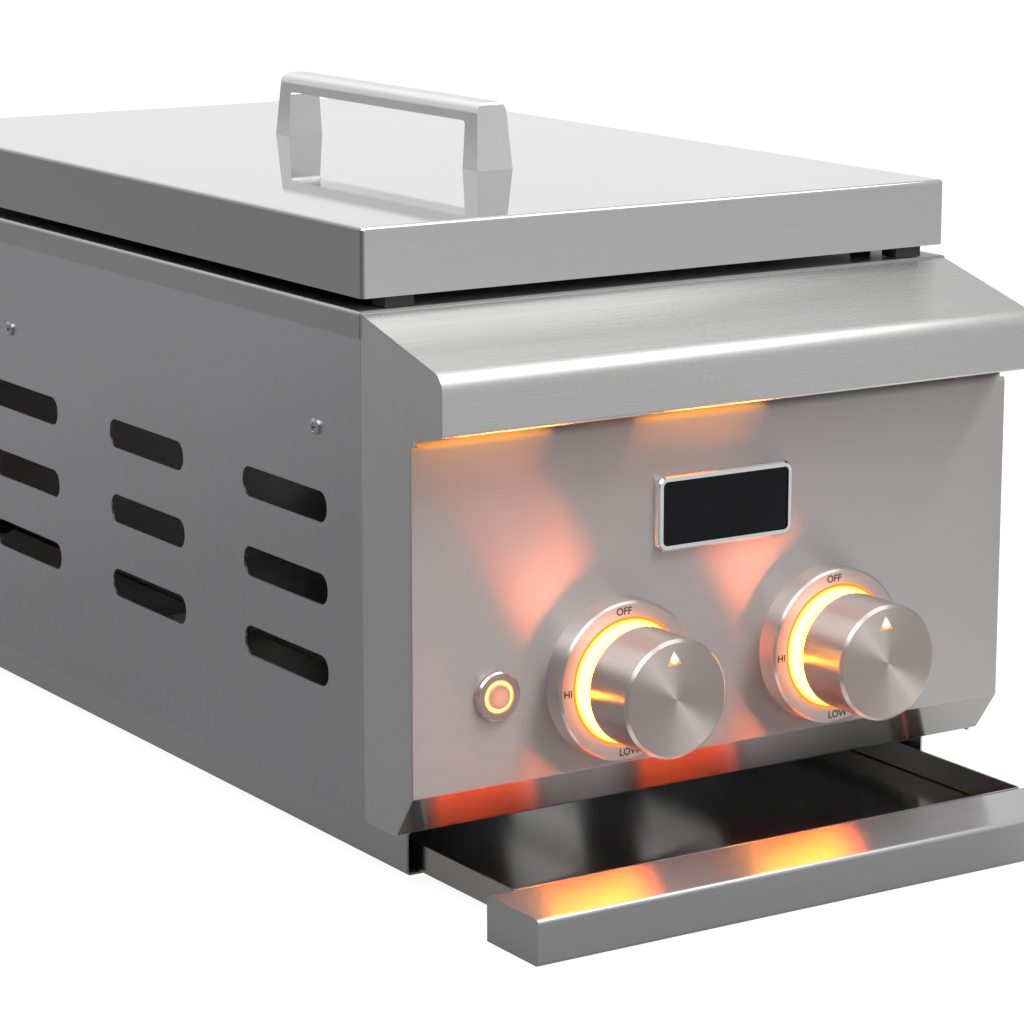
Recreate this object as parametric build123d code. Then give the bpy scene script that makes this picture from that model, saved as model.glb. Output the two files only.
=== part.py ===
from build123d import *
import os

os.makedirs("parts", exist_ok=True)

# Built-in two-burner side burner, in millimetres.
# Origin: centre of the base pan's underside. +X is the cook's right, +Y the rear, +Z up.
# Drawn with the lid on, both knobs at OFF and the drip tray pulled part-way out.

# Sheet metal
sheet = 1.0              # stainless sheet of the case
fold = 12.0              # width of the folded joining flanges
bend = 2.0               # outer radius of an ordinary fold
fit = 0.3                # gap between pieces that slip past each other
seam = 0.1               # gap between sheets that follow the same curve
edge_break = 0.8         # rounding of a sharp outer fold

# Case
body_width = 330.0
pan_length = 528.0
pan_height = 25.3
pan_inset = 15.0         # the pan's side walls stand in from the side panels
pan_lead = 11.5          # the pan runs ahead of the side panels
deck_height = 259.5      # top face of the deck
deck_skirt = 12.4        # deck's fold down over the side panels
deck_rim = 8.0           # fold down round each burner opening

# Vent slots in the side panels
vent_length = 80.0
vent_height = 14.6
vent_corner = 6.6
vent_columns = 3
vent_rows = 3
vent_pitch_y = 140.7
vent_pitch_z = 38.6
vent_first_y = 72.0      # from the case front to the first column's middle
vent_low_z = 87.6

# Console: hood, control panel and end plates
console_depth = 46.0     # panel face ahead of the case front
console_bottom = 27.2
chamfer_depth = 14.4
chamfer_height = 20.3
panel_sheet = 1.2
panel_gap = 4.6          # panel's top below the hood's lip
panel_bend = 5.0         # outer radius of the fold along the panel's top
panel_overlap = 2.0      # panel past the end plates on each side
lip_overhang = 22.6      # hood lip ahead of the panel face
lip_height = 26.8        # from the hood's bend line down
hood_bend = 9.0
hood_drop = 18.8         # fall of the hood from its rear edge to its bend line
hood_step = 1.0          # deck stands this much over the hood's rear edge

# Controls
control_rise = 61.7      # knob axes above the console's bottom
knob_pitch = 119.2
knob_radius = 27.5
knob_length = 28.7
knob_wall = 2.5
knob_chamfer = 1.4
knob_gap = 9.0           # knob barrel ahead of the bezel's face
hub_radius = 14.0
bezel_rise = 11.3
bezel_base_radius = 37.5
bezel_face_radius = 37.2
bezel_wall = 2.0
light_radius = 30.2      # opening in the bezel's face
light_bore = 17.0
light_thickness = 1.6
pointer_width = 7.2
pointer_height = 6.6
pointer_offset = 19.5    # middle of the pointer from the knob's axis
pointer_lean = 5.0       # degrees to the left of straight up at OFF
push_travel = 4.0
button_inset = 41.5      # from the case's left side
button_rim_radius = 11.4
button_rim_height = 2.6
button_barrel_radius = 9.5
button_barrel_length = 20.0
button_bore_radius = 7.8
button_cap_radius = 5.6
button_cap_proud = 1.0
button_travel = 2.5
nut_radius = 13.0
nut_height = 4.0

# Blank name plate
badge_width = 76.0
badge_height = 35.0
badge_corner = 5.0
badge_rim_width = 2.6
badge_rim_height = 3.0
badge_plate_height = 2.0
badge_drop = 51.2        # below the hood's lip

# Gas train
stem_radius = 4.0
stem_flat = 2.6          # from the stem's axis to its flat
plug_radius = 7.0
plug_length = 22.0
plug_socket = 18.0
spring_length = 10.2
spring_radius = 5.0      # middle of the wire
wire = 0.7
collar_width = 1.5
valve_width = 26.0
valve_setback = 6.0      # valve front behind the panel
valve_floor = 4.0        # metal behind the plug
manifold_radius = 9.0
manifold_drop = 26.0     # manifold axis below the knob axis
saddle_radius = 9.0
saddle_height = 3.0
feed_radius = 4.0
feed_bend = 14.0
feed_lead = 25.0         # straight run into the mixing tube
feed_climb = 24.0        # run in which the tube climbs to the burner
supply_radius = 6.0
supply_bend = 18.0
supply_inset = 39.0      # from the case's right side
supply_run = 30.0        # from the manifold's end to the supply pipe's line
inlet_thread_radius = 7.94   # 5/8 in flare thread
inlet_thread_length = 18.0
inlet_hex_radius = 13.0
inlet_hex_height = 8.0
inlet_boss_radius = 8.0
inlet_boss_length = 14.0

# Burners and grates
burner_drop = 50.5       # top of the burner pan below the deck
cup_radius = 48.0
cup_height = 16.0
cap_radius = 44.0
cap_height = 12.0
throat_radius = 17.0
throat_drop = 44.0       # mixing tube's axis below the burner pan
mixer_radius = 12.0
mixer_length = 66.0
port_count = 24
port_radius = 1.6
igniter_radius = 3.5
igniter_above = 30.0
igniter_below = 10.0
igniter_clear = 5.0      # insulator to burner cup
grate_margin = 30.0      # front and rear legs from the deck's edges
grate_inset = 28.0       # corner legs from the case's sides
grate_spokes = (28.5, 78.0)  # spokes each side of the middle one
grate_bar = 7.0
grate_depth = 11.0
grate_rise = 18.5
grate_split = 12.0       # between the two grates' facing leg rows
grate_hole = 34.0        # clear radius over each burner
leg_ledge = 10.0         # deck left between a leg row and its opening

# Lid
lid_inset = 0.7          # from the case's sides
lid_overhang = 1.1       # past the case's rear
lid_gap = 5.4            # above the deck
lid_height = 31.7
lid_hem = 14.0
handle_length = 206.0
handle_top_length = 199.0
handle_opening = 178.0
handle_height = 34.0
handle_bar = 10.0
handle_width = 20.8
handle_top_width = 16.4
handle_corner = 3.0
handle_crown = 6.0       # round of the bar's long top edges
screw_radius = 2.5
screw_grip = 12.0
bumper_width = 15.0
bumper_depth = 11.0
bumper_inset = 20.3      # from the lid's sides

# Drip tray
tray_side_gap = 4.3      # from the base pan's walls
tray_wall = 13.7
tray_closed_gap = 1.1
tray_pull = 80.0         # how far out it is drawn
tray_front_inset = 7.0   # from the case's sides
tray_front_depth = 41.0
tray_front_height = 21.0
guide_reach = 8.0
tray_rivet_shares = (0.25, 0.75)  # of the tray's half width

# Fasteners and fittings
head_radius = 3.8
head_height = 2.2
dome = 0.8               # rounded share of a head's height
shank_radius = 1.7
side_screw_drop = 7.5    # below the burner pan's top
side_screw_front = 41.0  # from the case front
side_screw_pitch = 327.5
side_screw_length = 6.0
module_size = (50.0, 22.0, 36.0)
module_inset = 60.0      # from the case's left side
module_rise = 58.4       # above the knob axes
socket_inset = 55.0      # from the case's left side
socket_z = 64.0
socket_flange = 9.0
socket_radius = 6.0
socket_bore = 3.2
socket_pin = 1.0
lead_radius = 1.2
lead_bend = 3.6
lead_offset = 24.0       # ring leads above the knob axis

# Places that follow from the sizes above
half = body_width / 2
inside = half - sheet
rear = pan_length / 2
case_front = -rear + pan_lead
web = half - pan_inset
panel_face = case_front - console_depth
panel_back = panel_face + panel_sheet
lip_front = panel_face - lip_overhang
hood_rear_z = deck_height - hood_step
lip_bottom = hood_rear_z - hood_drop - lip_height
panel_top = lip_bottom - panel_gap
control_z = console_bottom + control_rise
button_x = -half + button_inset
badge_z = lip_bottom - badge_drop
bezel_face = panel_face - bezel_rise
knob_rear = bezel_face - knob_gap
knob_front = knob_rear - knob_length
knob_axes = {"left": -knob_pitch / 2, "right": knob_pitch / 2}
valve_front = panel_back + valve_setback
valve_rear = valve_front + plug_length + valve_floor
manifold_y = (valve_front + valve_rear) / 2
manifold_z = control_z - manifold_drop
supply_x = half - supply_inset
manifold_half = supply_x - supply_run
socket_x = -half + socket_inset
module_x = -half + module_inset
module_z = control_z + module_rise
burner_shelf = deck_height - burner_drop
side_screw_z = burner_shelf - side_screw_drop
grate_half = half - grate_inset
grate_top = deck_height + grate_rise
lid_half = half - lid_inset
lid_depth = rear + lid_overhang - case_front
lid_bottom = deck_height + lid_gap
lid_top = lid_bottom + lid_height
bumper_x = lid_half - bumper_inset
tray_half = web - sheet - tray_side_gap
tray_front_half = half - tray_front_inset
firewall_front = case_front + sheet
pan_top = pan_height + sheet
shelf_front = firewall_front + sheet + fit
shelf_rear = rear - 2 * sheet - fit
grate_rows = {
    "front": (case_front + grate_margin, (case_front + rear - grate_split) / 2),
    "rear": ((case_front + rear + grate_split) / 2, rear - grate_margin),
}
burner_y = {name: (rows[0] + rows[1]) / 2 for name, rows in grate_rows.items()}
burner_knob = {"front": "left", "rear": "right"}
tray_floor = sheet + fit
tray_top = tray_floor + tray_wall
tray_mouth = -rear - tray_closed_gap - tray_pull
tray_rear = rear - sheet - tray_closed_gap - tray_pull
cup_top = burner_shelf + cup_height
igniter_x = cup_radius + igniter_clear + igniter_radius
leg_columns = [0.0] + [side * x for x in (*grate_spokes, grate_half) for side in (-1, 1)]
screw_rows = [case_front + side_screw_front + i * side_screw_pitch for i in range(2)]


def block(x, y, z):
    """Box between the low and high values in the pairs x, y and z."""
    size = [max(pair) - min(pair) for pair in (x, y, z)]
    return Pos(sum(x) / 2, sum(y) / 2, sum(z) / 2) * Box(*size)


def rod_x(radius, x, y, z):
    return Pos(sum(x) / 2, y, z) * Rot(0, 90, 0) * Cylinder(radius, max(x) - min(x))


def rod_y(radius, x, y, z):
    return Pos(x, sum(y) / 2, z) * Rot(90, 0, 0) * Cylinder(radius, max(y) - min(y))


def rod_z(radius, x, y, z):
    return Pos(x, y, sum(z) / 2) * Cylinder(radius, max(z) - min(z))


def turned(profile, x, z):
    """Ring or disc turned about the line along Y through (x, z), from (radius, y) points."""
    face = make_face(Polyline(*profile, close=True))
    return Pos(x, 0, z) * revolve(face, Axis.Y)


def mirrored(shape):
    return mirror(shape, about=Plane.YZ)


def inner_line(line, thickness):
    """The line moved to its left by the sheet's thickness, with mitred corners."""
    points = [Vector(*p) for p in line]
    normals = []
    for a, b in zip(points, points[1:]):
        along = (b - a).normalized()
        normals.append(Vector(-along.Y, along.X))
    moved = [points[0] + normals[0] * thickness]
    for p, n, m in zip(points[1:-1], normals, normals[1:]):
        moved.append(p + (n + m) * (thickness / (1 + n.dot(m))))
    moved.append(points[-1] + normals[-1] * thickness)
    return [(p.X, p.Y) for p in moved]


def rounded(outline, corners):
    """Sketch with the corners at the given points rounded to the given radii."""
    for point, radius in corners:
        corner = outline.vertices().sort_by_distance(Vector(*point))[0]
        outline = fillet(corner, radius)
    return outline


def raised(outline, plane, height):
    """Solid of an outline drawn on a plane and raised along the plane's normal."""
    return extrude(plane * outline, height, dir=plane.z_dir)


def along_x(outline, x):
    """Solid of a (y, z) outline between the pair x."""
    plane = Plane(origin=(min(x), 0, 0), x_dir=(0, 1, 0), z_dir=(1, 0, 0))
    return raised(outline, plane, max(x) - min(x))


def folded(line, x, thickness, radii):
    """Sheet folded along X: its outer line in (y, z) with the metal on the left of it."""
    inner = inner_line(line, thickness)
    outline = make_face(Polyline(*line, *reversed(inner), close=True))
    corners = list(zip(line[1:-1], radii)) + [(p, r - thickness) for p, r in zip(inner[1:-1], radii)]
    return along_x(rounded(outline, corners), x)


def pipe(points, radius, bend_radius):
    path = FilletPolyline(*points, radius=bend_radius)
    start = Plane(origin=path @ 0, z_dir=path % 0)
    return sweep(start * Circle(radius), path=path)


def d_shaft(radius, flat, x, y, z):
    """Round shaft along Y with one flat, facing down."""
    return rod_y(radius, x, y, z) - block((x - radius, x + radius), y, (z - 2 * radius, z - flat))


def pan_head_screw(place, shank):
    """Domed screw whose head stands on the plane's origin and shank runs against its normal."""
    head = Cylinder(head_radius, head_height, align=(Align.CENTER, Align.CENTER, Align.MIN))
    head = fillet(head.edges().filter_by(GeomType.CIRCLE).sort_by(Axis.Z)[-1], head_height * dome)
    return place * (head + Cylinder(shank_radius, shank, align=(Align.CENTER, Align.CENTER, Align.MAX)))


def base_pan():
    pan = block((-web, web), (-rear, rear), (0, pan_height))
    pan -= block((-web + sheet, web - sheet), (-rear, rear - sheet), (sheet, pan_height))
    for side in (-1, 1):
        x = (side * (web - sheet), side * (inside - fit))
        pan += block(x, (-rear, rear), (pan_height - sheet, pan_height))
    pan += block((-web, web), (rear - fold, rear), (pan_height - sheet, pan_height))
    lower = pan.edges().filter_by(Axis.Y).group_by(Axis.Z)[0]
    return fillet(lower, bend)


def vent_cuts():
    slot = RectangleRounded(vent_length, vent_height, vent_corner)
    cuts = []
    for column in range(vent_columns):
        for row in range(vent_rows):
            y = case_front + vent_first_y + column * vent_pitch_y
            z = vent_low_z + row * vent_pitch_z
            plane = Plane(origin=(-half - sheet, y, z), x_dir=(0, 1, 0), z_dir=(1, 0, 0))
            cuts.append(raised(slot, plane, 3 * sheet))
    return cuts


def left_side_panel():
    top = deck_height - sheet
    panel = block((-half, -inside), (case_front, rear), (pan_height, top))
    panel += block((-inside, -inside + fold), (case_front, rear), (pan_height, pan_top))
    panel += block((-inside, -inside + fold), (case_front, firewall_front), (pan_height, top - 2 * fold))
    panel += block((-inside, -inside + fold), (rear - 2 * sheet, rear - sheet), (pan_height, top - sheet))
    panel -= block((-inside, -inside + fold), (rear - sheet, rear), (pan_height, top))
    corner = panel.edges().filter_by(Axis.Z).sort_by_distance((-half, case_front, pan_height + top / 2))[0]
    panel = fillet(corner, edge_break)
    for cut in vent_cuts():
        panel -= cut
    for y in screw_rows:
        panel -= rod_x(shank_radius + seam, (-half, -inside), y, side_screw_z)
    return panel


def rear_panel():
    z = (pan_height, deck_height - sheet)
    panel = block((-inside + fit, inside - fit), (rear - sheet, rear), z)
    panel += block((-web + fold, web - fold), (rear - fold, rear), (pan_height, pan_top))
    panel -= rod_y(inlet_boss_radius + seam, supply_x, (rear - sheet, rear), manifold_z)
    panel -= rod_y(socket_radius + seam, socket_x, (rear - sheet, rear), socket_z)
    slot = RectangleRounded(vent_length, vent_height, vent_corner)
    for x in (-vent_pitch_y / 2, vent_pitch_y / 2):
        place = (x, rear + sheet, vent_low_z + (vent_rows - 1) * vent_pitch_z)
        plane = Plane(origin=place, x_dir=(1, 0, 0), z_dir=(0, -1, 0))
        panel -= raised(slot, plane, 3 * sheet)
    for x, z in rear_screw_places():
        panel -= rod_y(shank_radius + seam, x, (rear - sheet, rear), z)
    return panel


def rear_screw_places():
    x = inside - fold / 2
    rows = (pan_top + fold, (pan_top + deck_height) / 2, deck_height - 2 * fold)
    return [(side * x, z) for side in (-1, 1) for z in rows]


def firewall():
    y = (firewall_front, firewall_front + sheet)
    wall = block((-inside, inside), y, (pan_top, deck_height - 2 * sheet))
    for x in knob_axes.values():
        wall -= rod_y(feed_radius + 2 * sheet, x, y, control_z)
    wall -= rod_y(supply_radius + 2 * sheet, supply_x, y, manifold_z)
    wall -= rod_y(lead_radius + fit, socket_x, y, socket_z)
    return wall


def opening_box(name, z, grow=0.0):
    """Block through one burner opening, widened on each side by grow."""
    near, far = grate_rows[name]
    x = grate_half - leg_ledge + grow
    return block((-x, x), (near + leg_ledge - grow, far - leg_ledge + grow), z)


def top_deck():
    outer = half + sheet
    deck = block((-outer, outer), (case_front, rear + sheet), (deck_height - deck_skirt, deck_height))
    deck = fillet(deck.edges().filter_by(Axis.Y).group_by(Axis.Z)[-1], bend)
    deck -= block((-half, half), (case_front, rear), (deck_height - deck_skirt, deck_height - sheet))
    for name in grate_rows:
        deck += opening_box(name, (deck_height - deck_rim, deck_height - sheet / 2), sheet)
    for name in grate_rows:
        deck -= opening_box(name, (deck_height - deck_rim, deck_height))
    return deck


def burner_pan():
    skirt = side_screw_z - 2 * head_radius
    y = (shelf_front, shelf_rear)
    z = (burner_shelf - sheet, burner_shelf)
    pan = block((-inside, inside), y, (skirt, burner_shelf))
    pan -= block((-inside + sheet, inside - sheet), y, (skirt, z[0]))
    for y in burner_y.values():
        pan -= rod_z(throat_radius + fit, 0, y, z)
        pan -= rod_z(igniter_radius + fit, igniter_x, y, z)
    drain = SlotOverall(vent_length, vent_height)
    for x in (-grate_half / 2, grate_half / 2):
        plane = Plane(origin=(x, (case_front + rear) / 2, burner_shelf - 2 * sheet))
        pan -= raised(drain, plane, 3 * sheet)
    for side in (-1, 1):
        for y in screw_rows:
            pan -= rod_x(shank_radius + seam, (side * inside, side * (inside - sheet)), y, side_screw_z)
    return pan


hood_line = [
    (case_front + fold, hood_rear_z),
    (case_front, hood_rear_z),
    (lip_front, hood_rear_z - hood_drop),
    (lip_front, lip_bottom),
    (lip_front + fold, lip_bottom),
]


def front_hood():
    hood = folded(hood_line, (-half, half), sheet, (bend, hood_bend, bend))
    for side in (-1, 1):
        x = (side * (inside - fit), side * half)
        hood -= block(x, (lip_front + sheet, lip_front + fold), (lip_bottom, lip_bottom + 2 * bend))
        x = (side * (inside - fold - fit), side * half)
        hood -= block(x, (case_front, case_front + fold), (hood_rear_z - 2 * sheet, hood_rear_z))
    return hood


panel_line = [
    (panel_face + fold, panel_top),
    (panel_face, panel_top),
    (panel_face, console_bottom + chamfer_height),
    (panel_face + chamfer_depth, console_bottom),
    (case_front - pan_lead, console_bottom),
]


def left_end_plate():
    under = inner_line(hood_line, sheet + seam)
    behind = inner_line(panel_line, panel_sheet + seam)
    foot = pan_height + seam
    knee, toe = behind[2], behind[3]
    reach = (knee[1] - foot) / (knee[1] - toe[1])
    outline = make_face(Polyline(
        (case_front, foot),
        (knee[0] + reach * (toe[0] - knee[0]), foot),
        knee,
        (knee[0], panel_top),
        (under[2][0], lip_bottom),
        under[2],
        (case_front, under[1][1]),
        close=True,
    ))
    outline = rounded(outline, [(under[2], hood_bend - sheet)])
    plate = along_x(outline, (-half, -inside))
    z = (console_bottom, deck_height - sheet - 2 * fold)
    plate += block((-inside, -inside + fold), (case_front - sheet, case_front), z)
    return plate


def control_panel():
    width = inside - fit
    outer = half + panel_overlap
    panel = folded(panel_line, (-outer, outer), panel_sheet, (panel_bend, bend, bend))
    for side in (-1, 1):
        x = (side * width, side * outer)
        panel -= block(x, (panel_face, panel_face + fold), (panel_top - panel_bend / 2, panel_top))
        panel -= block(x, (panel_back, panel_face + fold), (panel_top - panel_bend, panel_top))
        foot = (panel_face + chamfer_depth, case_front - pan_lead)
        panel -= block(x, foot, (console_bottom, console_bottom + 2 * bend))
        x = (side * (width - panel_sheet), side * width)
        z = (console_bottom + 2 * chamfer_height, panel_top - panel_bend)
        panel += block(x, (panel_face, panel_face + fold), z)
    y = (panel_face, panel_back)
    for x in knob_axes.values():
        panel -= rod_y(spring_radius + wire + 2 * fit, x, y, control_z)
        panel -= rod_y(lead_radius + fit, x, y, control_z + lead_offset)
    panel -= rod_y(button_barrel_radius + seam, button_x, y, control_z)
    return panel


def badge_outline(inset):
    return RectangleRounded(badge_width - 2 * inset, badge_height - 2 * inset, badge_corner - inset)


def on_panel(outline, height):
    """Solid of an (x, z) outline standing on the panel's face at the name plate's place."""
    plane = Plane(origin=(0, panel_face, badge_z), x_dir=(1, 0, 0), z_dir=(0, -1, 0))
    return raised(outline, plane, height)


def badge_rim():
    rim = on_panel(badge_outline(0), badge_rim_height)
    rim = chamfer(rim.faces().sort_by(Axis.Y)[0].edges(), badge_rim_width / 3)
    return rim - on_panel(badge_outline(badge_rim_width), badge_rim_height)


def badge_plate():
    return on_panel(badge_outline(badge_rim_width + seam), badge_plate_height)


def tray_guides():
    guides = []
    low = tray_top + fit
    for side in (-1, 1):
        wall = side * (web - sheet)
        y = (-rear + fold, rear - 2 * fold)
        guide = block((wall, wall - side * guide_reach), y, (low, low + sheet))
        guide += block((wall, wall - side * sheet), y, (low, pan_height - 2 * sheet))
        guides.append(guide)
    return Compound(children=guides)


def gas_manifold():
    tube = rod_x(manifold_radius, (-manifold_half, manifold_half), manifold_y, manifold_z)
    for x in knob_axes.values():
        top = manifold_z + manifold_radius + saddle_height
        tube += rod_z(saddle_radius, x, manifold_y, (manifold_z, top))
        foot = (x - saddle_radius, x + saddle_radius)
        tube += block(foot, (manifold_y, firewall_front), (manifold_z - 2 * sheet, manifold_z + 2 * sheet))
    return tube


def valve_body(side):
    x = knob_axes[side]
    width = valve_width / 2
    body = block((x - width, x + width), (valve_front, valve_rear), (control_z - width, control_z + width))
    body = chamfer(body.edges().filter_by(Axis.Y), 2 * sheet)
    seat = manifold_z + manifold_radius + saddle_height
    body += rod_z(saddle_radius - sheet, x, manifold_y, (seat, control_z - width))
    body -= rod_y(plug_radius + fit, x, (valve_front, valve_front + plug_length + fit), control_z)
    return body


def valve_plug(side):
    x = knob_axes[side]
    plug = rod_y(plug_radius, x, (valve_front, valve_front + plug_length), control_z)
    socket = (valve_front, valve_front + plug_socket)
    return plug - d_shaft(stem_radius + fit, stem_flat + fit, x, socket, control_z)


def valve_stem(side):
    x = knob_axes[side]
    end = valve_front + plug_socket - push_travel - 2 * fit
    stem = d_shaft(stem_radius, stem_flat, x, (knob_front + 3 * knob_wall, end), control_z)
    collar = (valve_front - spring_length - collar_width, valve_front - spring_length)
    return stem + rod_y(spring_radius + wire, x, collar, control_z)


def stem_spring(side):
    """Outer shape of the coil that pushes the knob back out, between plug and collar."""
    x = knob_axes[side]
    y = (valve_front - spring_length + seam, valve_front)
    coil = rod_y(spring_radius + wire / 2, x, y, control_z)
    return coil - rod_y(spring_radius - wire / 2, x, y, control_z)


def gas_inlet():
    thread = (rear + inlet_hex_height, rear + inlet_hex_height + inlet_thread_length)
    inlet = rod_y(inlet_thread_radius, supply_x, thread, manifold_z)
    inlet = chamfer(inlet.edges().filter_by(GeomType.CIRCLE).sort_by(Axis.Y)[-1], sheet)
    plane = Plane(origin=(supply_x, rear, manifold_z), x_dir=(1, 0, 0), z_dir=(0, 1, 0))
    inlet += raised(RegularPolygon(inlet_hex_radius, 6), plane, inlet_hex_height)
    inlet += rod_y(inlet_boss_radius, supply_x, (rear - inlet_boss_length, rear), manifold_z)
    return inlet - rod_y(supply_radius / 2, supply_x, (rear - inlet_boss_length, thread[1]), manifold_z)


def supply_pipe():
    points = (
        (supply_x, rear - inlet_boss_length, manifold_z),
        (supply_x, manifold_y, manifold_z),
        (manifold_half, manifold_y, manifold_z),
    )
    return pipe(points, supply_radius, supply_bend)


def feed_tube(name):
    x = knob_axes[burner_knob[name]]
    y = burner_y[name] - mixer_length
    z = burner_shelf - throat_drop
    points = (
        (x, valve_rear, control_z),
        (x, y - feed_lead - feed_climb, control_z),
        (0, y - feed_lead, z),
        (0, y, z),
    )
    return pipe(points, feed_radius, feed_bend)


def burner_base(name):
    y = burner_y[name]
    axis_z = burner_shelf - throat_drop
    body = rod_z(cup_radius, 0, y, (burner_shelf, cup_top))
    body = chamfer(body.edges().sort_by(Axis.Z)[0], cup_height / 3)
    body += rod_z(throat_radius, 0, y, (axis_z - mixer_radius, burner_shelf + sheet))
    body += rod_y(mixer_radius, 0, (y - mixer_length, y), axis_z)
    body -= rod_z(throat_radius - 3 * sheet, 0, y, (axis_z, cup_top))
    body -= rod_y(mixer_radius - 2 * sheet, 0, (y - mixer_length + 3 * sheet, y), axis_z)
    return body


def burner_cap(name):
    y = burner_y[name]
    cap = rod_z(cap_radius, 0, y, (cup_top, cup_top + cap_height))
    cap = fillet(cap.edges().sort_by(Axis.Z)[-1], cap_height / 3)
    cap -= rod_z(cap_radius - 4 * sheet, 0, y, (cup_top, cup_top + cap_height / 2))
    port = rod_x(port_radius, (cap_radius - 6 * sheet, cap_radius + sheet), 0, cup_top + cap_height / 4)
    for i in range(port_count):
        cap -= Pos(0, y, 0) * Rot(0, 0, 360 / port_count * (i + 0.5)) * port
    return cap


def igniter_insulators():
    solids = []
    z = (burner_shelf - igniter_below, burner_shelf + igniter_above)
    collar = (burner_shelf, burner_shelf + 3 * sheet)
    for y in burner_y.values():
        post = rod_z(igniter_radius, igniter_x, y, z)
        post += rod_z(igniter_radius + 2 * sheet, igniter_x, y, collar)
        solids.append(post)
    return Compound(children=solids)


def igniter_tips():
    solids = []
    top = burner_shelf + igniter_above
    for y in burner_y.values():
        pin = rod_z(sheet, igniter_x, y, (top, top + 4 * sheet))
        pin += rod_x(sheet, (cap_radius, igniter_x), y, top + 4 * sheet)
        solids.append(pin)
    return Compound(children=solids)


def grate(name):
    near, far = grate_rows[name]
    middle = burner_y[name]
    bar = grate_bar / 2
    z = (grate_top - grate_depth, grate_top)
    outer = grate_half + bar
    frame = block((-outer, outer), (near - bar, far + bar), z)
    frame -= block((-outer + grate_bar, outer - grate_bar), (near + bar, far - bar), z)
    for x in leg_columns:
        frame += block((x - bar, x + bar), (near, far), z)
    for side in (-1, 1):
        frame += block((0, side * grate_half), (middle - bar, middle + bar), z)
    frame -= rod_z(grate_hole, 0, middle, z)
    leg = (deck_height, grate_top - grate_depth / 2)
    for x in leg_columns:
        for y in (near, far):
            frame += block((x - bar, x + bar), (y - bar, y + bar), leg)
    return frame


def knob_bezel(side):
    x = knob_axes[side]
    skin = bezel_wall
    return turned((
        (bezel_base_radius, panel_face),
        (bezel_face_radius, bezel_face + skin / 2),
        (bezel_face_radius - skin / 2, bezel_face),
        (light_radius, bezel_face),
        (light_radius, bezel_face + skin),
        (bezel_face_radius - skin, bezel_face + skin),
        (bezel_base_radius - skin, panel_face),
    ), x, control_z)


def light_ring(side):
    x = knob_axes[side]
    back = bezel_face + bezel_wall
    seat = light_radius + bezel_wall
    return turned((
        (light_bore, back - light_thickness),
        (light_radius - seam, back - light_thickness),
        (light_radius - seam, back),
        (seat, back),
        (seat, back + light_thickness),
        (light_bore, back + light_thickness),
    ), x, control_z)


def pointer_outline():
    low = -pointer_height / 2
    return make_face(Polyline((-pointer_width / 2, low), (pointer_width / 2, low), (0, -low), close=True))


def pointer_prism(side):
    plane = Plane(origin=(0, knob_front, pointer_offset), x_dir=(-1, 0, 0), z_dir=(0, 1, 0))
    prism = Rot(0, -pointer_lean, 0) * raised(pointer_outline(), plane, 2 * knob_wall)
    return Pos(knob_axes[side], 0, control_z) * prism


def knob(side):
    x = knob_axes[side]
    shell = rod_y(knob_radius, x, (knob_front, knob_rear), control_z)
    shell = chamfer(shell.edges().filter_by(GeomType.CIRCLE).sort_by(Axis.Y)[0], knob_chamfer)
    shell -= rod_y(knob_radius - knob_wall, x, (knob_front + knob_wall, knob_rear), control_z)
    return shell - pointer_prism(side)


def knob_hub(side):
    x = knob_axes[side]
    front = knob_front + knob_wall
    hub = rod_y(hub_radius, x, (front, bezel_face + sheet), control_z)
    hub -= d_shaft(stem_radius, stem_flat, x, (knob_front + 3 * knob_wall, panel_back), control_z)
    return hub


def button_bezel():
    back = panel_face + button_barrel_length
    step = button_bore_radius - 2 * fit
    shoulder = panel_face + 2 * sheet
    return turned((
        (button_rim_radius, panel_face),
        (button_rim_radius, panel_face - button_rim_height + edge_break),
        (button_rim_radius - edge_break, panel_face - button_rim_height),
        (button_bore_radius, panel_face - button_rim_height),
        (button_bore_radius, shoulder),
        (step, shoulder),
        (step, back - sheet),
        (0, back - sheet),
        (0, back),
        (button_barrel_radius, back),
        (button_barrel_radius, panel_face),
    ), button_x, control_z)


def button_light():
    outer = button_bore_radius - seam
    inner = button_cap_radius + fit
    front = panel_face - button_rim_height + fit
    back = panel_face + 2 * sheet
    return turned(((inner, front), (outer, front), (outer, back), (inner, back)), button_x, control_z)


def button_cap():
    front = panel_face - button_rim_height - button_cap_proud
    back = panel_face + button_barrel_length - sheet - button_travel - fit
    cap = rod_y(button_cap_radius, button_x, (front, back), control_z)
    return fillet(cap.edges().filter_by(GeomType.CIRCLE).sort_by(Axis.Y)[0], button_cap_proud * dome)


def button_nut():
    plane = Plane(origin=(button_x, panel_back, control_z), x_dir=(1, 0, 0), z_dir=(0, 1, 0))
    nut = raised(RegularPolygon(nut_radius, 6), plane, nut_height)
    y = (panel_back, panel_back + nut_height)
    return nut - rod_y(button_barrel_radius + seam, button_x, y, control_z)


def light_module():
    width, depth, height = module_size
    x = (module_x - width / 2, module_x + width / 2)
    z = (module_z - height / 2, module_z + height / 2)
    case = block(x, (firewall_front - depth, firewall_front), z)
    return fillet(case.edges().filter_by(Axis.Y), bend)


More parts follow.
